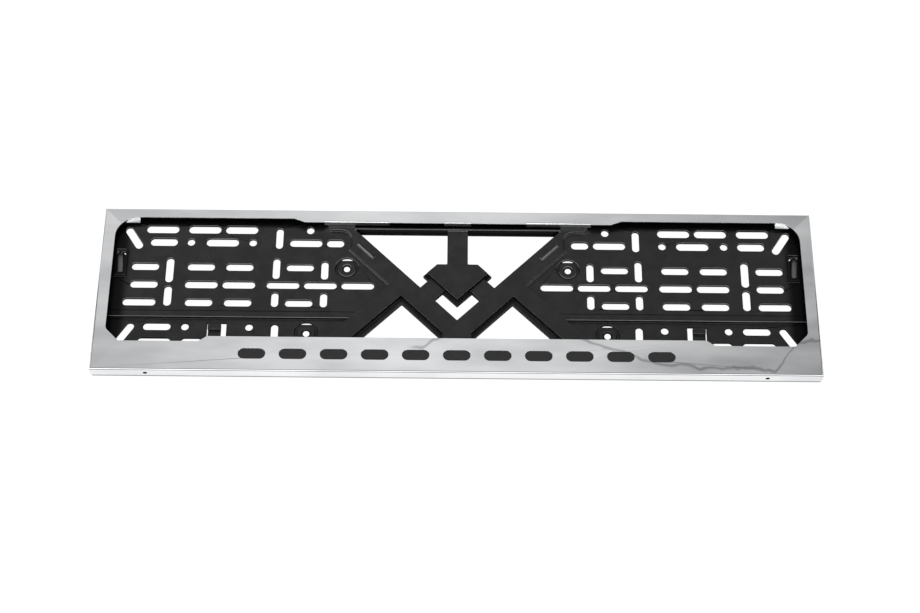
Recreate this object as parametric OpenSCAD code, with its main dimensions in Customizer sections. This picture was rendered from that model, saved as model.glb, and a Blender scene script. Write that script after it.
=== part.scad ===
// Number plate holder: a pressed stainless frame over a black moulded base.
// Millimetres. X runs along the plate, Y up the plate, Z out of its face.
// The origin is under the middle of the back, on the surface that the base lies on.

/* [Frame] */
// Length of the frame
frame_w = 535; // [520:1:600]
// Height of the frame
frame_h = 135; // [132:1:160]
// Depth from the back of the base to the front of the frame
depth = 12; // [11.6:0.1:18]
// Thickness of the stainless sheet
sheet = 0.8; // [0.6:0.05:1]
// Outer radius of every bend in the sheet
bend_r = 1.2; // [1.1:0.05:1.5]
// Height of the walls' lower edge above the back of the base
wall_lift = 1; // [0.5:0.1:1.2]

/* [Window] */
// Width of the frame's border at each side
side_border = 9; // [8:0.1:11]
// Width of the border above the window, near the corners
top_border = 7.6; // [6.5:0.1:9]
// Width of the border below the window, near the corners
low_border = 23.5; // [22:0.1:27]
// Extra width of the upper border over the hooks
top_drop = 3; // [2:0.1:3.6]
// Length of the wider stretch of the upper border
top_drop_w = 232; // [215:1:250]
// Length of each slanted end of that stretch
top_slope = 8; // [5:0.5:12]
// Extra width of the lower border in the middle
low_rise = 4.2; // [2:0.1:6]
// Length of the wider stretch of the lower border
low_rise_w = 367; // [350:1:380]
// Length of each slanted end of that stretch
low_slope = 6; // [4:0.5:10]
// Radius of the window's upper corners
window_r = 16.5; // [13:0.5:17]
// Size of the slanted cut across each lower corner of the window
window_cut = 10; // [7:0.5:14]
// Radius where that cut meets the side of the window
cut_r = 5; // [2:0.5:8]

/* [Hooks and tabs] */
// Length of the two long hooks of the upper edge
hook_w = 49; // [30:1:60]
// Distance of the long hooks from the middle
hook_x = 76.5; // [60:0.5:82]
// Length of the short hook in the middle
mid_hook_w = 20; // [10:1:30]
// Length of each corner clip
clip_w = 11; // [8:0.5:13]
// Distance from the side of the window to the outer end of a corner clip
clip_in = 6.4; // [5.5:0.1:8]
// Depth of a clip's foot below the face
clip_drop = 3.1; // [2.6:0.1:3.4]
// Reach of a clip's foot into the window
clip_reach = 3; // [2.8:0.1:4]
// Length of each side tab along its wall
tab_l = 22; // [18:0.5:26]
// Place of the side tabs above the middle
tab_y = 25; // [22:0.5:26]
// Reach of a side tab under the base, from the outside of the wall
tab_reach = 16.5; // [15.5:0.5:20]
// Size of the cut corner at the end of a side tab
tab_cut = 5; // [3:0.5:7]
// Diameter of the two screw holes in the lower wall
screw_d = 3.2; // [2.5:0.1:4]
// Distance of the screw holes from the middle
screw_x = 227.3; // [200:0.1:240]

/* [Lower band] */
// Number of slots punched in the lower band
band_slots = 11; // [5:2:11]
// Distance between two slots of the band
band_pitch = 30; // [26:1:31]
// Length of a slot of the band
band_slot_l = 20; // [14:0.5:23]
// Height of a slot of the band
band_slot_h = 8.4; // [6:0.2:10]
// Distance of the slots' middle line from the lower edge of the frame
band_slot_y = 13.9; // [13.2:0.1:15]
// Margin of the black strip round the slots
strip_margin = 5; // [3:0.5:5.5]
// Thickness of the black strip
strip_t = 0.5; // [0.3:0.1:1]

/* [Base] */
// Clearance between the base and the frame's walls
fit = 0.6; // [0.3:0.1:1]
// Clearance over the rim, and round the hooks and tabs
seat_gap = 0.3; // [0.2:0.05:0.4]
// Thickness of the base's upright rim
rim_t = 2; // [1.6:0.1:2.4]
// Corner radius of the base
base_r = 3; // [2.6:0.1:5]
// Thickness of the moulded skin
skin = 2.4; // [2.1:0.1:2.6]
// Rise from one level of the base to the next
rise = 2.4; // [2.1:0.1:2.6]
// Thickness of the walls between levels
web_t = 2.2; // [1.5:0.1:2.6]
// Depth below the middle of the step between the panels and the strip
step_y = 20.6; // [20:0.1:21]
// Height of the shallow ridge along that step
ridge_t = 0.3; // [0.2:0.1:0.5]
// Width of the shallow ridge
ridge_w = 5.2; // [3:0.1:5.4]
// Width of the bar along the lower edge of the base
low_bar = 8; // [6:0.5:10]

/* [Brace] */
// Rise of the slanted edges for each millimetre across
slant = 0.977; // [0.97:0.001:0.985]
// Depth below the middle where the arms' inner edges cross
arm_in = 22.3; // [21.5:0.1:23]
// Depth below the middle where the arms' outer edges cross
arm_out = 43.2; // [42:0.1:44]
// Height on the middle line that the legs' inner edges point at
leg_in = 38.9; // [38:0.1:40]
// Height on the middle line that the legs' outer edges point at
leg_out = 57.5; // [56.5:0.1:58.5]
// Width of the low flange in the openings under the arms
flange_w = 3.3; // [2:0.1:4]
// Width of that flange along the legs
leg_flange_w = 4.2; // [3:0.1:4.6]
// Half width of the foot in the middle of the brace
foot_x = 10.7; // [8:0.1:14]
// Half width of the stem
stem_x = 7.75; // [6:0.05:9]
// Height of the head's upper edge above the middle
head_y = 24.5; // [23:0.1:26]
// Half width of the head's upper edge
head_x = 15.2; // [13:0.1:17]
// Depth of the head's tip below the middle
head_tip = 5.4; // [5:0.1:6.5]
// Width of the low flange under the head
head_flange = 2.4; // [1.5:0.1:2.8]
// Width of that flange at the two ears of the head
ear_flange = 2.6; // [2:0.1:3.4]
// Height of the ears' outer edges above the head's slanted sides
ear_lift = 2.3; // [1.5:0.1:3]
// Height on the middle line that the short arms' lower edges point at
short_low = 12.6; // [11.5:0.1:14]
// Height on the middle line that the short arms' upper edges point at
short_high = 32.9; // [31:0.1:34]
// Distance from the top of the base to the lower edge of the rail
rail_h = 13.8; // [13.4:0.1:14.2]
// Width of the rail's low flange in front of its rib
rail_flange = 0.8; // [0.5:0.1:1]
// Thickness of the rib along the rail
rib_t = 1.5; // [1:0.1:1.8]
// Height of that rib above the arms
rib_rise = 1.3; // [0.8:0.1:2]
// Half length of that rib
rib_x = 77.8; // [76:0.1:79]
// Length of the small rib on each arm
arm_rib_l = 17; // [10:0.5:20]
// Width of the small rib on each arm
arm_rib_w = 2.9; // [2.6:0.1:3.2]
// Height of the small rib on each arm
arm_rib_t = 1.1; // [0.8:0.1:1.3]

/* [Panels] */
// Half width of the brace between the bulges of the two panels
bulge_x = 80; // [79.5:0.1:81]
// Radius of a panel's bulge
bulge_r = 8; // [5:0.5:10]
// Distance from the top of the base to the upper edge of the bulge
bulge_h = 13.1; // [12.8:0.1:14]
// Height above the middle where the bulge's side ends
bulge_low = 38; // [37.5:0.1:40]
// Width of the small jog below the bulge
jog = 2; // [1:0.1:3]
// Distance from the middle to the lower end of the slanted shoulder
shoulder_x = 96.4; // [94:0.1:97]
// Width and height of the slanted shoulder
shoulder = [4, 8]; // [3:0.5:9]

/* [Slots of the base] */
// Length of the long slots
long_l = 24.5; // [22:0.1:25.5]
// Length of the short slots
short_l = 20.5; // [18:0.1:22]
// Length of the stub slots beside the arms
stub_l = 13.1; // [11:0.1:14.5]
// Length of the slots beside the snap tongues
end_l = 15.4; // [12:0.1:17]
// Width of the slots in the two upper rows
upper_slot_w = 6.4; // [5.5:0.1:7.6]
// Width of the slots in the other rows
slot_w = 5.8; // [5.2:0.1:6.8]
// How much narrower the slots near the brace are
slot_less = 0.4; // [0:0.1:0.8]
// Turn of the corner slots from the length of the plate
corner_turn = 57; // [53:1:60]
// Diameter of the round holes
hole_d = 5.7; // [5:0.1:7]

/* [Bosses] */
// Diameter of the round opening that holds a boss
ring_d = 17.4; // [16.8:0.1:17.8]
// Diameter of each boss
boss_d = 13.6; // [12.6:0.1:14]
// Depth of a boss's top below the surface round it
boss_drop = 0.4; // [0.1:0.1:0.6]
// Diameter of the screw hole in a boss
boss_hole_d = 4.8; // [4:0.1:5.5]
// Diameter of the sunk seat for a screw's head
boss_seat_d = 6.8; // [6:0.1:9]
// Depth of that seat
boss_seat_t = 0.8; // [0.4:0.1:0.9]
// Width of the thin floor that holds a boss on both sides
boss_floor_w = 15.2; // [13:0.1:16]
// Thickness of that floor
boss_floor_t = 0.8; // [0.7:0.1:1.1]

/* [Snap tongues] */
// Distance from the base's side to the inner edge of the opening round a tongue
tongue_in = 95.1; // [94:0.1:95.5]
// Width of each snap tongue
tongue_w = 9.6; // [8:0.1:9.8]
// Length of the opening round a tongue
tongue_l = 17.7; // [16:0.1:18]
// Thickness of a tongue
tongue_t = 1.6; // [1.2:0.1:2]
// Width of the narrow slit at a tongue's end and outer side
slit = 0.8; // [0.5:0.1:1]
// Width of the wide slit at its inner side
wide_slit = 4; // [3.5:0.1:4.2]
// Length of the thick nose at its end
nose_l = 5.3; // [4:0.1:7]
// Height of the nose
nose_top = 4; // [3.4:0.1:5]

/* [Side pockets] */
// Length of the raised rim round a side pocket
pocket_l = 23; // [22:0.5:24]
// Distance from the base's side to the inner edge of that rim
pocket_in = 17.4; // [17:0.1:19]
// Distance from the base's side to the open side of that rim
pocket_out = 9; // [8:0.1:9.3]
// Thickness of the rim
pocket_t = 1.2; // [0.8:0.1:1.3]
// Distance from the base's side to the inner edge of the opening over a steel tab
view_in = 13.4; // [13:0.1:13.8]
// Width of that opening
view_w = 3.9; // [3:0.1:4.1]
// Length of that opening
view_l = 15.2; // [12:0.1:15.6]
// Shift of that opening's lower end towards the middle
view_lean = 1.2; // [0:0.1:1.4]
// Height of the pointed upper end of that opening
view_tip = 2.5; // [1:0.1:2.8]
// Size of the small open corner beside it
peep = 2.8; // [2:0.1:3]

/* [Hidden] */
$fn = 48;
cut = 1;                           // how far a cutting shape runs past the face that it cuts
arc_steps = 10;                    // straight pieces in each rounded corner of an outline
side_x = frame_w / 2;
side_y = frame_h / 2;
sheet_low = depth - sheet;         // back of the sheet's face
window_x = side_x - side_border;
window_top = side_y - top_border;
window_low = low_border - side_y;
hook_y = window_top - top_drop;
tab_top = wall_lift + sheet;
screw_z = (depth + wall_lift) / 2;
base_x = side_x - sheet - fit;     // half length of the base
base_y = side_y - sheet - fit;     // half height of the base
panel_x = base_x - rim_t / 2;      // the panels and the brace end inside the rim
panel_y = base_y - rim_t / 2;
room_y = base_y - rim_t - web_t;   // the hollows of the brace end a web inside the rim
strip_top = skin;                  // the three levels of the base
panel_top = strip_top + rise;
arm_top = panel_top + rise;
rim_top = sheet_low - seat_gap;
steep = sqrt(1 + slant * slant);   // length of a slanted edge for each millimetre across
web = web_t * steep;               // widths of the slanted webs and flanges along the middle line
flange = flange_w * steep;
leg_flange = leg_flange_w * steep;
head_low = head_tip + head_flange * steep;
ear_low = head_tip + ear_flange * steep;
head_side = head_y + slant * head_x;
ear_side = head_side + ear_lift;
rail_y = base_y - rail_h;
rib_y = rail_y + rail_flange;
bulge_y = base_y - bulge_h;
arm_room = 98;                     // height on the middle line that the arms' hollows end at
foot_low = low_bar - base_y;
band_y = band_slot_y - side_y;
pilot_d = screw_d - 0.6;
floor_lap = 0.8;                   // how far a boss's floor runs under the edge of its opening
arm_rib = [69, 35.5];
panel_boss = [83.2, 21.4];
strip_boss = [111.8, -31.9];
tongue_y = -step_y - 3.7;          // upper edge of the opening round a tongue
pocket_y = 24.3;
view_y = 24.4;
peep_y = 33.4;

// Slots of each row: the outer ones are placed from the base's side, the inner ones from the middle
row_y = [base_y - 12.5, base_y - 23.5, 21.5, 6.5, -8.5, 38.6 - base_y, 26.3 - base_y];
outer_long = [[42.1, 74.1, 102.1], [88.1], [], [74.3, 102.4], [28.9], [], [42.1]];
outer_short = [[], [43.8], [31.3, 73.3, 102.3], [31.4], [73.3, 102.4], [43.4], []];
outer_hole = [[], [64.3, 111.1], [], [], [], [64.3, 111.8], []];
inner_long = [[], [114.8], [], [130.6, 102.6, 74.6], [], [], []];
inner_short = [[], [], [118.3], [], [118.2], [], []];
inner_hole = [[111.9], [], [], [], [], [], []];
stub_x = 92.5;
end_in = 69.8;

// Upright slots: distance from the base's side or the middle, lower end and upper end
outer_upright = [[49.8, 8.4, 28.9], [49.8, -11.3, 5.1]];
inner_upright = [[135, 37.8, 55.1], [136.2, 12, 29.2], [136.2, -11.5, 0.3], [99.8, 11.8, 26.8],
  [99.8, -11.5, 0.1], [135.3, -42, -24.9]];
corner_high = [base_x - 21, base_y - 20.3];
corner_low = [base_x - 19.6, 32.2 - base_y];

// Where a rising edge that starts at low on the middle line meets a falling one that starts at high
function meet(low, high) = let (x = (high - low) / (2 * slant)) [x, low + slant * x];

// Points of an arc from one angle to another
function arc(centre, r, from, to) =
  [for (i = [0 : arc_steps]) let (a = from + (to - from) * i / arc_steps) centre + r * [cos(a), sin(a)]];

// Whole outline from the points of its right half
function whole(half) = concat(half, [for (i = [len(half) - 1 : -1 : 0]) [-half[i][0], half[i][1]]]);

module both_sides() {
  children();
  mirror([1, 0, 0]) children();
}

module slot(l, w) {
  for (s = [-1, 1]) translate([s * (l - w) / 2, 0]) circle(d = w);
  translate([-(l - w) / 2, -w / 2]) square([l - w, w]);
}

// Bar along X with its two upper edges rounded
module bent_bar(x, y, low, top, r) {
  translate([-x, -y, low]) cube([2 * x, 2 * y, top - r - low]);
  translate([-x, -y + r, low]) cube([2 * x, 2 * (y - r), top - low]);
  for (s = [-1, 1]) translate([-x, s * (y - r), top - r]) rotate([0, 90, 0]) cylinder(h = 2 * x, r = r);
}

// Block with its four upper edges rounded, and mitred where they meet
module bent_block(x, y, low, top, r) {
  intersection() {
    bent_bar(x, y, low, top, r);
    rotate([0, 0, 90]) bent_bar(y, x, low, top, r);
  }
}

// Section of a right-angled fold: its outer corner is the origin, its legs run along +X and +Y
module fold(along, up) {
  translate([bend_r, 0]) square([along - bend_r, sheet]);
  translate([0, bend_r]) square([sheet, up - bend_r]);
  difference() {
    intersection() {
      translate([bend_r, bend_r]) circle(bend_r);
      square(bend_r);
    }
    translate([bend_r, bend_r]) circle(bend_r - sheet);
  }
}

// Right half of the window's outline
window_half = concat(
  [[top_drop_w / 2, hook_y], [top_drop_w / 2 + top_slope, window_top]],
  arc([window_x - window_r, window_top - window_r], window_r, 90, 0),
  arc([window_x - cut_r, window_low + window_cut + cut_r * tan(22.5)], cut_r, 0, -45),
  [[window_x - window_cut, window_low], [low_rise_w / 2 + low_slope, window_low],
   [low_rise_w / 2, window_low + low_rise]]);

module band_row() {
  for (i = [0 : band_slots - 1])
    translate([(i - (band_slots - 1) / 2) * band_pitch, band_y]) slot(band_slot_l, band_slot_h);
}

// Places a shape at each hook of the upper edge: the first child is for the long ones
module at_hooks() {
  for (x = [-hook_x, hook_x]) translate([x - hook_w / 2, hook_y, depth]) children(0);
  translate([-mid_hook_w / 2, hook_y, depth]) children(1);
}

module hook(l) {
  rotate([90, 0, 90]) linear_extrude(l) mirror([0, 1]) fold(bend_r + sheet, depth - arm_top - seat_gap);
}

module hook_room(l) {
  translate([0, -cut, -bend_r]) cube([l, bend_r + cut, bend_r + cut]);
}

// Clip bent down from an upper corner of the window, with its foot turned back in
module corner_clip() {
  foot = depth - clip_drop;
  turn = [window_x - window_r, window_top - window_r];
  difference() {
    intersection() {
      translate([window_x - clip_in - clip_w, window_top - clip_reach, foot - sheet])
        cube([clip_w, 2 * clip_reach, clip_drop]);
      union() {
        translate([turn[0], turn[1], 0]) cylinder(h = depth, r = window_r + sheet);
        translate([turn[0] - clip_w, turn[1], 0]) cube([clip_w, window_r + sheet, depth]);
      }
    }
    translate([0, 0, foot]) linear_extrude(depth) polygon(whole(window_half));
  }
}

// Tab folded in from the lower edge of a side wall, under the base
module side_tab() {
  difference() {
    translate([side_x, tab_y + tab_l / 2, wall_lift]) rotate([90, 0, 0])
      mirror([1, 0, 0]) linear_extrude(tab_l) fold(tab_reach, 2 * bend_r);
    translate([side_x - tab_reach, tab_y + tab_l / 2, 0]) rotate([0, 0, 45])
      cube([sqrt(2) * tab_cut, sqrt(2) * tab_cut, 4 * tab_top], center = true);
  }
}

module side_tab_room() {
  translate([side_x - bend_r, tab_y - tab_l / 2, wall_lift - cut]) cube([bend_r + cut, tab_l, bend_r + cut]);
}

module front_frame() {
  color("silver") difference() {
    union() {
      difference() {
        bent_block(side_x, side_y, wall_lift, depth, bend_r);
        bent_block(side_x - sheet, side_y - sheet, wall_lift - cut, sheet_low, bend_r - sheet);
        translate([0, 0, sheet_low - cut]) linear_extrude(sheet + 2 * cut) polygon(whole(window_half));
        at_hooks() {
          hook_room(hook_w);
          hook_room(mid_hook_w);
        }
        both_sides() side_tab_room();
      }
      at_hooks() {
        hook(hook_w);
        hook(mid_hook_w);
      }
      both_sides() {
        corner_clip();
        side_tab();
      }
    }
    both_sides() translate([screw_x, -side_y - cut, screw_z])
      rotate([-90, 0, 0]) cylinder(h = sheet + 2 * cut, d = screw_d);
    translate([0, 0, sheet_low - cut]) linear_extrude(sheet + 2 * cut) band_row();
  }
}

// Dark strip bonded to the back of the lower band, behind its slots
module backing_strip() {
  x = ((band_slots - 1) * band_pitch + band_slot_l) / 2 + strip_margin;
  y = band_slot_h / 2 + strip_margin;
  color("dimgray") translate([-x, band_y - y, sheet_low - strip_t]) cube([2 * x, 2 * y, strip_t]);
}

module base_outline(inset) {
  x = base_x - inset;
  y = base_y - inset;
  r = base_r - inset;
  translate([-x + r, -y]) square([2 * (x - r), 2 * y]);
  translate([-x, -y + r]) square([2 * x, 2 * (y - r)]);
  for (sx = [-1, 1], sy = [-1, 1]) translate([sx * (x - r), sy * (y - r)]) circle(r);
}

// Openings of the brace that run right through the base
module brace_openings() {
  both_sides() {
    polygon([[stem_x, rail_y], [(rail_y + arm_in) / slant, rail_y], meet(-arm_in, short_high),
      meet(-ear_low, short_high), meet(-ear_low, ear_side), [(ear_side - head_y) / slant, head_y],
      [stem_x, head_y]]);
    polygon([[foot_x + flange_w, foot_low], [(leg_in - leg_flange - foot_low) / slant, foot_low],
      meet(-arm_out - flange, leg_in - leg_flange),
      [foot_x + flange_w, slant * (foot_x + flange_w) - arm_out - flange]]);
  }
  polygon(whole([[0, -arm_in], meet(-arm_in, short_low), meet(-head_low, short_low), [0, -head_low]]));
}

// Edge between a panel and the raised brace, from the top of the base down to the leg
function brace_edge(inset, top) = concat(
  [[shoulder_x + shoulder[0] + inset, top], [shoulder_x + shoulder[0] + inset, bulge_y + shoulder[1]],
   [shoulder_x + inset, bulge_y - inset]],
  arc([bulge_x + bulge_r, bulge_y - bulge_r], bulge_r - inset, 90, 180),
  [[bulge_x + inset, bulge_low],
   [bulge_x + jog + inset, slant * (bulge_x + jog + inset) - arm_out - inset * steep],
   meet(-arm_out - inset * steep, leg_out + inset * steep)]);

function panel_half(inset, side, top) = concat([[side, top]], brace_edge(inset, top),
  [[(leg_out + inset * steep + step_y - inset) / slant, inset - step_y], [side, inset - step_y]]);

// Raised half of the brace: arm, leg and shoulder, the stem and the head, and the lower short arm
module raised_half() {
  linear_extrude(arm_top) {
    polygon(concat([[0, -arm_in], [rib_x, slant * rib_x - arm_in], [rib_x, panel_y]],
      brace_edge(0, panel_y),
      [[(leg_out + panel_y) / slant, -panel_y], [(leg_in + panel_y) / slant, -panel_y],
       meet(-arm_out, leg_in), [foot_x, slant * foot_x - arm_out], [foot_x, -panel_y], [0, -panel_y]]));
    polygon([[0, rib_y], [0, -head_tip], meet(-head_tip, head_side), [head_x, head_y],
      [stem_x, head_y], [stem_x, rib_y]]);
  }
  linear_extrude(panel_top) polygon([meet(-head_tip, short_low), meet(-arm_in, short_low),
    meet(-arm_in, short_high), meet(-head_tip, short_high)]);
}

// Hollows under one half of the brace, which leave a skin and webs
module raised_room() {
  translate([0, 0, -cut]) linear_extrude(arm_top - skin + cut) {
    polygon([[0, -arm_in - web], [0, web - arm_out], meet(web - arm_out, arm_room),
      meet(-arm_in - web, arm_room)]);
    polygon([meet(-arm_out - web, leg_in + web), meet(-arm_out - web, leg_out - web),
      [(leg_out - web + room_y) / slant, -room_y], [(leg_in + web + room_y) / slant, -room_y]]);
    polygon([[0, rail_y - web_t], [0, web - head_tip], meet(web - head_tip, head_side - web),
      [(head_side - web - head_y + web_t) / slant, head_y - web_t], [stem_x - web_t, head_y - web_t],
      [stem_x - web_t, rail_y - web_t]]);
    translate([0, -room_y]) square([foot_x - web_t, room_y - arm_out]);
    translate([rib_x + web_t, bulge_y + web_t])
      square([shoulder_x - rib_x - 2 * web_t, room_y - bulge_y - web_t]);
  }
  translate([0, 0, -cut]) linear_extrude(panel_top - skin + cut)
    polygon([meet(-head_tip - web, short_low + web), meet(web - arm_in, short_low + web),
      meet(web - arm_in, short_high - web), meet(-head_tip - web, short_high - web)]);
}

// Slots, holes and round openings of the right half
module base_slots() {
  for (row = [0 : len(row_y) - 1]) translate([0, row_y[row]]) {
    w = row < 2 ? upper_slot_w : slot_w;
    for (x = outer_long[row]) translate([base_x - x, 0]) slot(long_l, w);
    for (x = inner_long[row]) translate([x, 0]) slot(long_l, w - slot_less);
    for (x = outer_short[row]) translate([base_x - x, 0]) slot(short_l, w);
    for (x = inner_short[row]) translate([x, 0]) slot(short_l, w - slot_less);
    for (x = outer_hole[row]) translate([base_x - x, 0]) circle(d = hole_d);
    for (x = inner_hole[row]) translate([x, 0]) circle(d = hole_d);
  }
  translate([stub_x, row_y[1]]) slot(stub_l, upper_slot_w - slot_less);
  translate([base_x - end_in, row_y[6]]) slot(end_l, slot_w);
  for (u = outer_upright) translate([base_x - u[0], (u[1] + u[2]) / 2]) rotate(90) slot(u[2] - u[1], slot_w);
  for (u = inner_upright) translate([u[0], (u[1] + u[2]) / 2]) rotate(90)
    slot(u[2] - u[1], slot_w - slot_less);
  translate(corner_high) rotate(corner_turn) slot(short_l, slot_w);
  translate(corner_low) rotate(-corner_turn) slot(short_l, slot_w);
  translate(panel_boss) circle(d = ring_d);
  translate(strip_boss) circle(d = ring_d);
  translate([base_x - tongue_in, tongue_y - tongue_l]) square([wide_slit + tongue_w + slit, tongue_l]);
  pocket_view();
}

// Opening over a steel tab, with its small open corner
module pocket_view() {
  x = base_x - view_in;
  polygon([[x - view_lean, view_y - view_l / 2], [x + view_w - view_lean, view_y - view_l / 2],
    [x + view_w, view_y + view_l / 2], [x + view_w / 2, view_y + view_l / 2 + view_tip],
    [x, view_y + view_l / 2]]);
  polygon([[x, peep_y], [x - peep, peep_y], [x - peep, peep_y - peep]]);
}

// Screw boss between the heights low and top, with the thin floor that closes most of its ring
module boss(low, top) {
  difference() {
    union() {
      translate([0, 0, low]) cylinder(h = top - low, d = boss_d);
      translate([0, 0, low]) linear_extrude(boss_floor_t) intersection() {
        circle(d = ring_d + 2 * floor_lap);
        square([2 * ring_d, boss_floor_w], center = true);
      }
    }
    translate([0, 0, low - cut]) cylinder(h = top - low + 2 * cut, d = boss_hole_d);
    translate([0, 0, top - boss_seat_t]) cylinder(h = panel_top, d = boss_seat_d);
  }
}

module tongue() {
  translate([base_x - tongue_in + wide_slit, tongue_y - tongue_l - cut, 0]) {
    cube([tongue_w, tongue_l + cut - slit, tongue_t]);
    translate([0, tongue_l + cut - slit - nose_l, 0]) cube([tongue_w, nose_l, nose_top]);
  }
}

// Raised rim of a side pocket, open towards the side
module pocket_rim() {
  w = pocket_in - pocket_out;
  translate([base_x - pocket_in, pocket_y - pocket_l / 2, panel_top - skin / 2])
    linear_extrude(rise + skin / 2) difference() {
      square([w, pocket_l]);
      translate([pocket_t, pocket_t]) square([w, pocket_l - 2 * pocket_t]);
    }
}

// Shallow ridge along the step of a panel
module ridge() {
  linear_extrude(panel_top + ridge_t) polygon([[(leg_out + step_y) / slant, -step_y], [panel_x, -step_y],
    [panel_x, ridge_w - step_y], [(leg_out + step_y - ridge_w) / slant, ridge_w - step_y]]);
}

module ribs() {
  translate([-rib_x, rib_y, 0]) cube([2 * rib_x, rib_t, arm_top + rib_rise]);
  both_sides() translate([arm_rib[0], arm_rib[1], arm_top + arm_rib_t - arm_rib_w / 2])
    rotate([0, 90, atan(slant)]) cylinder(h = arm_rib_l, d = arm_rib_w, center = true);
}

module base_plate() {
  color("#2a2a2c") difference() {
    union() {
      difference() {
        union() {
          linear_extrude(strip_top) difference() {
            base_outline(0);
            brace_openings();
          }
          both_sides() {
            linear_extrude(panel_top) polygon(panel_half(0, panel_x, panel_y));
            ridge();
            raised_half();
          }
        }
        both_sides() {
          raised_room();
          translate([0, 0, -cut]) linear_extrude(panel_top - skin + cut)
            polygon(panel_half(web_t, base_x - rim_t, base_y - rim_t));
          translate([0, 0, -cut]) linear_extrude(arm_top) base_slots();
        }
      }
      linear_extrude(rim_top) difference() {
        base_outline(0);
        base_outline(rim_t);
      }
      ribs();
      both_sides() {
        translate(panel_boss) boss(panel_top - skin - boss_drop, panel_top - boss_drop);
        translate(strip_boss) boss(0, strip_top - boss_drop);
        tongue();
        pocket_rim();
      }
    }
    both_sides() {
      translate([screw_x, -base_y - cut, screw_z]) rotate([-90, 0, 0])
        cylinder(h = rim_t + 2 * cut, d = pilot_d);
      translate([base_x - rim_t - cut, tab_y - tab_l / 2 - seat_gap, -cut])
        cube([rim_t + 2 * cut, tab_l + 2 * seat_gap, tab_top + seat_gap + cut]);
    }
  }
}

front_frame();
base_plate();
backing_strip();
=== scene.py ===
import math

import bmesh
import bpy
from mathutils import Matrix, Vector


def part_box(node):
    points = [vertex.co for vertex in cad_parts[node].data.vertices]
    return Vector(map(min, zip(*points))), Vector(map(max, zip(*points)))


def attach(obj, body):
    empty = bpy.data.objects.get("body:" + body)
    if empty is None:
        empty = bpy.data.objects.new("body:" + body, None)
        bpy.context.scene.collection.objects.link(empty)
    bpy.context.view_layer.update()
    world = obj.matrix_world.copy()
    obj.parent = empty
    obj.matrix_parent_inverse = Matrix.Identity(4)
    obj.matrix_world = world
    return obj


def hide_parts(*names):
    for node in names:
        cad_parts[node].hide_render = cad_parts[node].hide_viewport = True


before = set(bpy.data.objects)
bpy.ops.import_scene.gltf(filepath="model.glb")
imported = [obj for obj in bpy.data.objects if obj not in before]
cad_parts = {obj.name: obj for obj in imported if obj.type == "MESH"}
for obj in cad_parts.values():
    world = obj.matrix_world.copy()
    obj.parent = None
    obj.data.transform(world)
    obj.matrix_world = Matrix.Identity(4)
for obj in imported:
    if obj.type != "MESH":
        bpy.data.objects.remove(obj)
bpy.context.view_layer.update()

# Front frame
# One blank of thin stainless sheet, punched for the window and the row of slots, folded down
# on all four sides and polished to a mirror. Its hooks and clips are bent from the same sheet.
MM = 0.001
TOUCHING = 0.001 * MM
scene = bpy.context.scene


def linear(hex_colour):
    """Linear colour of an sRGB hex value."""
    parts = [int(hex_colour[i:i + 2], 16) / 255 for i in (1, 3, 5)]
    return [p / 12.92 if p <= 0.04045 else ((p + 0.055) / 1.055) ** 2.4 for p in parts] + [1]


def add(tree, kind, inputs=(), **settings):
    """Adds a node: inputs pairs each socket with a value, or with the node or socket that feeds it."""
    node = tree.nodes.new(kind)
    for name, value in settings.items():
        setattr(node, name, value)
    for socket, value in inputs:
        if isinstance(value, bpy.types.Node):
            value = next(output for output in value.outputs if output.enabled)
        if isinstance(value, bpy.types.NodeSocket):
            tree.links.new(value, node.inputs[socket])
        else:
            node.inputs[socket].default_value = value
    return node


def new_material(name):
    """Empty material with its Principled shader."""
    material = bpy.data.materials.new(name)
    material.use_nodes = True
    return material, material.node_tree, material.node_tree.nodes["Principled BSDF"]


def soft(tree, *steps):
    """Product of smooth steps. Each has a value, its start and end, and its levels there (0 and 1)."""
    product = 1
    for value, start, end, *levels in steps:
        low, high = levels or (0, 1)
        step = add(tree, "ShaderNodeMapRange", [("Value", value), ("From Min", start), ("From Max", end),
                                                ("To Min", low), ("To Max", high)],
                   interpolation_type="SMOOTHSTEP")
        product = add(tree, "ShaderNodeMath", [(0, product), (1, step)], operation="MULTIPLY")
    return product


def finished_copy(node, name, edge, sharp_angle, rounded=lambda bm_edge: True):
    """Copy of a CAD node with the sharp edges that rounded() picks rounded to a radius."""
    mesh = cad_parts[node].data.copy()
    mesh.materials.clear()
    bm = bmesh.new()
    bm.from_mesh(mesh)
    bmesh.ops.remove_doubles(bm, verts=bm.verts, dist=TOUCHING)
    weight = bm.edges.layers.float.new("bevel_weight_edge")
    for bm_edge in bm.edges:
        heights = [v.co.z for face in bm_edge.link_faces for v in face.verts]
        level = max(heights) - min(heights) < TOUCHING
        angle = 0 if level else math.degrees(bm_edge.calc_face_angle(0))
        beside_a_flat = any(abs(face.normal.z) > 0.9999 for face in bm_edge.link_faces)
        if angle > sharp_angle:
            bm_edge[weight] = rounded(bm_edge)
            bm_edge.smooth = rounded(bm_edge)
        elif angle > 2 and beside_a_flat:
            bm_edge.smooth = False  # a fold starts here, and the flat beside it stays flat
    for face in bm.faces:
        face.smooth = True
    bm.to_mesh(mesh)
    bm.free()
    piece = bpy.data.objects.new(name, mesh)
    scene.collection.objects.link(piece)
    rounding = piece.modifiers.new("rounded edges", "BEVEL")
    rounding.width = edge
    rounding.segments = 2
    rounding.limit_method = "WEIGHT"
    rounding.use_clamp_overlap = False
    rounding.face_strength_mode = "FSTR_ALL"
    shading = piece.modifiers.new("flat faces stay flat", "WEIGHTED_NORMAL")
    shading.keep_sharp = True
    shading.use_face_influence = True
    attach(piece, "root")
    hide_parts(node)
    return piece


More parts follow.
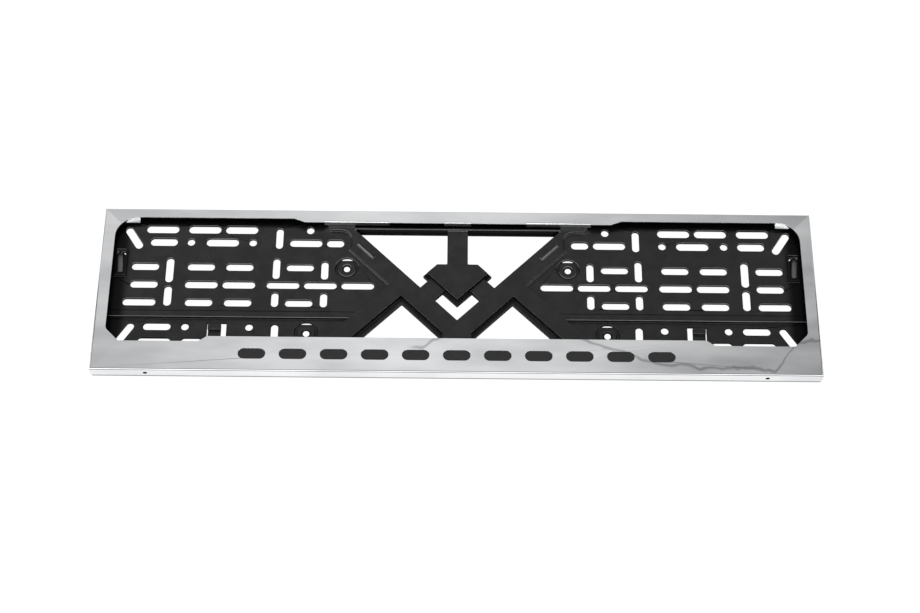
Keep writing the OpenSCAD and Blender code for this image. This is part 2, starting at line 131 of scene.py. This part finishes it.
# Polished stainless steel: rolled sheet buffed to a mirror, with the slow clouds of the wheel.
# The hooks and tabs are not buffed, and the tabs show the sheet's grey back.
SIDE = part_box("front_frame")[1]
SHEET = 0.8 * MM
TABS_UNDER = 2.4 * MM
steel, tree, shader = new_material("polished stainless steel")
shader.inputs["Metallic"].default_value = 1
place = add(tree, "ShaderNodeTexCoord").outputs["Object"]
axis = add(tree, "ShaderNodeSeparateXYZ", [("Vector", place)])
from_middle = add(tree, "ShaderNodeVectorMath", [(0, place)], operation="ABSOLUTE")
from_sides = add(tree, "ShaderNodeVectorMath", [(0, SIDE), (1, from_middle)], operation="SUBTRACT")
inset = add(tree, "ShaderNodeSeparateXYZ", [("Vector", from_sides)])
inward = add(tree, "ShaderNodeMath", [(0, inset.outputs["X"]), (1, inset.outputs["Y"])], operation="MINIMUM")
on_tabs = soft(tree, (axis.outputs["Z"], TABS_UNDER + 0.2 * MM, TABS_UNDER - 0.2 * MM),
               (inset.outputs["X"], SHEET + 0.1 * MM, SHEET + 0.3 * MM))
on_hooks = soft(tree, (inset.outputs["Z"], 0.05 * MM, 0.3 * MM),
                (inward, SHEET + 0.2 * MM, SHEET + 0.5 * MM))
unbuffed = add(tree, "ShaderNodeMath", [(0, on_tabs), (1, on_hooks)], operation="MAXIMUM")
cloud_sizes = [71.43 * MM, 20.83 * MM, 50 * MM]
buffing = add(tree, "ShaderNodeMapping", [("Vector", place), ("Rotation", (0, 0, math.radians(35))),
                                          ("Scale", [1 / size for size in cloud_sizes])])
cloud = add(tree, "ShaderNodeTexNoise", [("Vector", buffing), ("Scale", 1.0), ("Detail", 3.0),
                                         ("Roughness", 0.55)])
tone = add(tree, "ShaderNodeMix", [("Factor", soft(tree, (cloud, 0.3, 0.7))), ("A", linear("#DADCDE")),
                                   ("B", linear("#ECEDEE"))], data_type="RGBA")
tone = add(tree, "ShaderNodeMix", [("Factor", on_tabs), ("A", tone), ("B", linear("#8C8C8B"))],
           data_type="RGBA")
buffed_roughness = soft(tree, (cloud, 0.3, 0.7, 0.13, 0.08))
roughness = add(tree, "ShaderNodeMath", [(0, unbuffed), (1, 0.35), (2, buffed_roughness)],
                operation="MULTIPLY_ADD")
tree.links.new(roughness.outputs[0], shader.inputs["Roughness"])

# A painted reflection: the dark seam of the room, which the mirror would show, is painted into the
# base colour as a wavering line over the right half of the lower band and a short piece left of the
# middle. A bend has the value that it follows, its start and end there, and what it adds to its Y at each.
PAINTED_SEAM_Y = -51.5 * MM
waver = add(tree, "ShaderNodeTexNoise", [("Vector", place), ("Scale", 1 / (31.25 * MM)), ("Detail", 3.0)])
bends = [(axis.outputs["X"], -34 * MM, -10 * MM, 0, 10.5 * MM),
         (axis.outputs["X"], 60 * MM, 190 * MM, 0, -25 * MM),
         (axis.outputs["X"], 231 * MM, 253 * MM, 0, 24 * MM), (waver, 0.3, 0.7, 0, 6 * MM)]
painted_seam_y = PAINTED_SEAM_Y
for bend in bends:
    painted_seam_y = add(tree, "ShaderNodeMath", [(0, painted_seam_y), (1, soft(tree, bend))])
off_painted_seam = add(tree, "ShaderNodeMath", [(0, axis.outputs["Y"]), (1, painted_seam_y)], operation="SUBTRACT")
off_painted_seam = add(tree, "ShaderNodeMath", [(0, off_painted_seam)], operation="ABSOLUTE")
right_piece = soft(tree, (axis.outputs["X"], 45 * MM, 75 * MM))
left_piece = soft(tree, (axis.outputs["X"], -38 * MM, -28 * MM), (axis.outputs["X"], -8 * MM, -14 * MM))
along = add(tree, "ShaderNodeMath", [(0, right_piece), (1, left_piece)])
# Painted reflection: along this line the room's dark seam darkens the steel's base colour.
painted_seam_reflection = soft(tree, (off_painted_seam, 2.0 * MM, 0.2 * MM, 0, 0.45), (inset.outputs["Z"], 0.5 * MM, 0.2 * MM))
painted_seam_reflection = add(tree, "ShaderNodeMath", [(0, painted_seam_reflection), (1, along)], operation="MULTIPLY")
tone = add(tree, "ShaderNodeMix", [("Factor", painted_seam_reflection), ("A", tone), ("B", linear("#5A5B5D"))],
           data_type="RGBA")
tree.links.new(tone.outputs["Result"], shader.inputs["Base Color"])

# The sheet is never quite flat: the folds tilt each border a little, which shows as mitres in the
# corners, and what it reflects bends in soft waves, more so in the right half.
FOLD_TILT = -0.022
wave = add(tree, "ShaderNodeTexNoise", [("Vector", buffing), ("Scale", 0.9), ("Detail", 1.0)])
wave_height = soft(tree, (axis.outputs["X"], -50 * MM, 120 * MM, 0.25 * MM, 0.75 * MM))
waves = add(tree, "ShaderNodeMath", [(0, wave), (1, wave_height)], operation="MULTIPLY")
height = add(tree, "ShaderNodeMath", [(0, inward), (1, FOLD_TILT), (2, waves)], operation="MULTIPLY_ADD")
sheet_form = add(tree, "ShaderNodeBump", [("Height", height), ("Distance", 1.0)])
tree.links.new(sheet_form.outputs["Normal"], shader.inputs["Normal"])


def on_the_face(bm_edge):
    """True for the cut edges of the face, apart from the short ones where a hook bends down."""
    first, second = (v.co for v in bm_edge.verts)
    at_the_top = SIDE.z - min(first.z, second.z) < 0.01 * MM
    at_a_hook = abs(first.x - second.x) < 0.01 * MM and abs(first.y - second.y) < 1.5 * MM
    return at_the_top and not at_a_hook


front = finished_copy("front_frame", "polished_frame", 0.16 * MM, 44, on_the_face)
front.data.materials.append(steel)


# Base plate
# One injection moulding in black polypropylene, with levels, slots for many cars, four screw
# bosses and two snap tongues. Its flats are dark grey; shade is painted in as near black on the walls
# and where the frame's borders overhang, and a painted highlight makes the raised front edges pale.
PANEL_TOP = 3.6 * MM
plastic, tree, shader = new_material("moulded black polypropylene")
coordinates = add(tree, "ShaderNodeTexCoord")
place = coordinates.outputs["Object"]
axis = add(tree, "ShaderNodeSeparateXYZ", [("Vector", place)])
across = add(tree, "ShaderNodeMath", [(0, axis.outputs["X"])], operation="ABSOLUTE")
facing = add(tree, "ShaderNodeSeparateXYZ", [("Vector", coordinates.outputs["Normal"])])
# Painted shade: 0 near the frame's side and top borders and on walls, where shade falls, 1 elsewhere.
outside_painted_shade = soft(tree, (across, SIDE.x - 14 * MM, SIDE.x - 24 * MM),
               (axis.outputs["Y"], SIDE.y - 6 * MM, SIDE.y - 14 * MM), (facing.outputs["Z"], 0.3, 0.9))
# Painted highlight: raised edges turned to the front, where the front light catches them.
painted_edge_highlight = soft(tree, (facing.outputs["Y"], -0.05, -0.3), (facing.outputs["Z"], 0.99, 0.94),
              (facing.outputs["Z"], 0.3, 0.5),
              (axis.outputs["Z"], PANEL_TOP + 0.1 * MM, PANEL_TOP + 0.3 * MM))
mottle = add(tree, "ShaderNodeTexNoise", [("Vector", place), ("Scale", 1 / (9 * MM)), ("Detail", 4.0)])
tone = add(tree, "ShaderNodeMix", [("Factor", soft(tree, (mottle, 0.3, 0.7))), ("A", linear("#131314")),
                                   ("B", linear("#1B1B1C"))], data_type="RGBA")
# Painted shade: near black on the walls and under the frame's borders.
tone = add(tree, "ShaderNodeMix", [("Factor", outside_painted_shade), ("A", linear("#060606")), ("B", tone)],
           data_type="RGBA")
# Painted highlight: those edges are coloured pale.
tone = add(tree, "ShaderNodeMix", [("Factor", painted_edge_highlight), ("A", tone), ("B", linear("#7E7E7E"))],
           data_type="RGBA")
tree.links.new(tone.outputs["Result"], shader.inputs["Base Color"])
tree.links.new(soft(tree, (mottle, 0.3, 0.7, 0.4, 0.3)).outputs[0], shader.inputs["Roughness"])
# The same painted shade also lowers the specular level there.
tree.links.new(soft(tree, (outside_painted_shade, 0, 1, 0.12, 0.5)).outputs[0], shader.inputs["Specular IOR Level"])
grain = add(tree, "ShaderNodeTexNoise", [("Vector", place), ("Scale", 1 / (1.2 * MM)), ("Detail", 2.0)])
graining = add(tree, "ShaderNodeBump", [("Height", grain), ("Strength", 0.25), ("Distance", 0.06 * MM)])
tree.links.new(graining.outputs["Normal"], shader.inputs["Normal"])

base = finished_copy("base_plate", "moulded_base", 0.5 * MM, 40)
base.data.materials.append(plastic)


# Backing strip
# A narrow strip of matt black vinyl film, bonded to the back of the lower band, so that the
# slots punched there read dark also where the base behind them is open.
film, tree, shader = new_material("matt black vinyl film")
place = add(tree, "ShaderNodeTexCoord").outputs["Object"]
mottle = add(tree, "ShaderNodeTexNoise", [("Vector", place), ("Scale", 1 / (4 * MM)), ("Detail", 3.0)])
tone = add(tree, "ShaderNodeMix", [("Factor", mottle), ("A", linear("#1A1A1B")), ("B", linear("#262628"))],
           data_type="RGBA")
tree.links.new(tone.outputs["Result"], shader.inputs["Base Color"])
shader.inputs["Roughness"].default_value = 0.55

strip = finished_copy("backing_strip", "black_film", 0.08 * MM, 40)
strip.data.materials.append(film)


# Studio floor
# White paper under the holder. In the steel and the plastic it shows as paper that fades to the
# sides and towards the front, and that is in shade under the holder.
bpy.ops.mesh.primitive_plane_add(size=60)
floor = bpy.context.active_object
floor.name = "white_floor"
paper, tree, shader = new_material("white paper floor")
tree.nodes.remove(shader)
rays = add(tree, "ShaderNodeLightPath")
seen = 0
for kind in ("Is Camera Ray", "Is Glossy Ray", "Is Transmission Ray"):
    seen = add(tree, "ShaderNodeMath", [(0, seen), (1, rays.outputs[kind])], operation="MAXIMUM")
place = add(tree, "ShaderNodeTexCoord").outputs["Object"]
axis = add(tree, "ShaderNodeSeparateXYZ", [("Vector", place)])
from_middle = add(tree, "ShaderNodeVectorMath", [(0, place)], operation="ABSOLUTE")
reach = add(tree, "ShaderNodeSeparateXYZ", [("Vector", from_middle)])
under = soft(tree, (reach.outputs["X"], 262 * MM, 256 * MM), (reach.outputs["Y"], 66 * MM, 63 * MM))
beside = soft(tree, (axis.outputs["X"], -300 * MM, -264 * MM, 0.04, 1),
              (axis.outputs["X"], 264 * MM, 300 * MM, 1, 0.3),
              (axis.outputs["Y"], -100 * MM, -76 * MM, 0.1, 1), (under, 0, 1, 1, 0.2))
level = add(tree, "ShaderNodeMix", [("Factor", rays.outputs["Is Glossy Ray"]), ("A", 0.97), ("B", beside)])
white = add(tree, "ShaderNodeEmission", [("Color", (1, 1, 1, 1)), ("Strength", level)])
shaded = add(tree, "ShaderNodeBsdfDiffuse", [("Color", (0.12, 0.12, 0.12, 1))])
bright = add(tree, "ShaderNodeAddShader", [(0, white), (1, shaded)])
plain = add(tree, "ShaderNodeBsdfDiffuse", [("Color", (0.85, 0.85, 0.85, 1))])
surface = add(tree, "ShaderNodeMixShader", [(0, seen), (1, plain), (2, bright)])
tree.links.new(surface.outputs[0], tree.nodes["Material Output"].inputs["Surface"])
floor.data.materials.append(paper)


# Studio room, lamp and camera
# What the steel mirrors: a bright ceiling above and behind, a light on each side, a low card in
# front and a white backdrop, with dark between them. A soft lamp from the left adds shade.
CEILING_WAY = Vector((-0.04, 0.54, 0.83))
CEILING_SPREAD = Vector((2.0, 2.2, 0.6))
world = bpy.data.worlds.new("studio room")
scene.world = world
world.use_nodes = True
tree = world.node_tree
room = tree.nodes["Background"]
direction = add(tree, "ShaderNodeTexCoord").outputs["Generated"]
way = add(tree, "ShaderNodeSeparateXYZ", [("Vector", direction)])
off_middle = add(tree, "ShaderNodeMath", [(0, way.outputs["X"])], operation="ABSOLUTE")
centred = add(tree, "ShaderNodeMapping", [("Vector", direction), ("Scale", CEILING_SPREAD),
                                          ("Location", -CEILING_WAY * CEILING_SPREAD)])
patch = add(tree, "ShaderNodeTexGradient", [("Vector", centred)], gradient_type="SPHERICAL").outputs["Fac"]
ceiling = add(tree, "ShaderNodeMapRange", [("Value", patch), ("From Min", 0.22), ("From Max", 1.0),
                                           ("To Min", 0.06), ("To Max", 1.08)])
side_lights = soft(tree, (off_middle, 0.2, 0.235), (off_middle, 0.6, 0.4),
                   (way.outputs["Y"], 0.42, 0.5, 0, 0.5), (way.outputs["Z"], 0.5, 0.7))
front_card = soft(tree, (way.outputs["Y"], 0.1, -0.1), (way.outputs["Z"], 0.95, 0.8, 0.6, 3.0),
                  (way.outputs["Z"], 0.46, 0.58))
backdrop = soft(tree, (way.outputs["Y"], 0.3, 0.5), (way.outputs["Z"], 0.6, 0.4),
                (way.outputs["X"], -0.6, -0.35), (way.outputs["X"], 0.6, 0.35, 0.15, 1))
mirrored = ceiling
for light in (side_lights, front_card, backdrop):
    mirrored = add(tree, "ShaderNodeMath", [(0, mirrored), (1, light)])
rays = add(tree, "ShaderNodeLightPath")
level = add(tree, "ShaderNodeMix", [("Factor", rays.outputs["Is Glossy Ray"]), ("A", 0.6), ("B", mirrored)])
level = add(tree, "ShaderNodeMix", [("Factor", rays.outputs["Is Camera Ray"]), ("A", level), ("B", 1.0)])
tree.links.new(level.outputs["Result"], room.inputs["Strength"])
room.inputs["Color"].default_value = (1, 1, 1, 1)

lamp = bpy.data.lights.new("soft lamp", "AREA")
lamp.shape = "SQUARE"
lamp.size = 0.7
lamp.energy = 12
lamp_object = bpy.data.objects.new("soft_lamp", lamp)
lamp_object.location = (-0.7, 0.5, 1.3)
lamp_object.rotation_euler = (-Vector(lamp_object.location)).to_track_quat("-Z", "Y").to_euler()
lamp_object.visible_camera = False
lamp_object.visible_glossy = False
scene.collection.objects.link(lamp_object)

camera = bpy.data.cameras.new("camera")
camera.lens = 71.56
camera.sensor_width = 36
camera_object = bpy.data.objects.new("camera", camera)
camera_object.location = (-0.0021, -0.6262, 1.2198)
camera_object.rotation_euler = [math.radians(a) for a in (26.89, -0.403, 0.4)]
scene.collection.objects.link(camera_object)
scene.camera = camera_object

scene.view_settings.view_transform = "Standard"
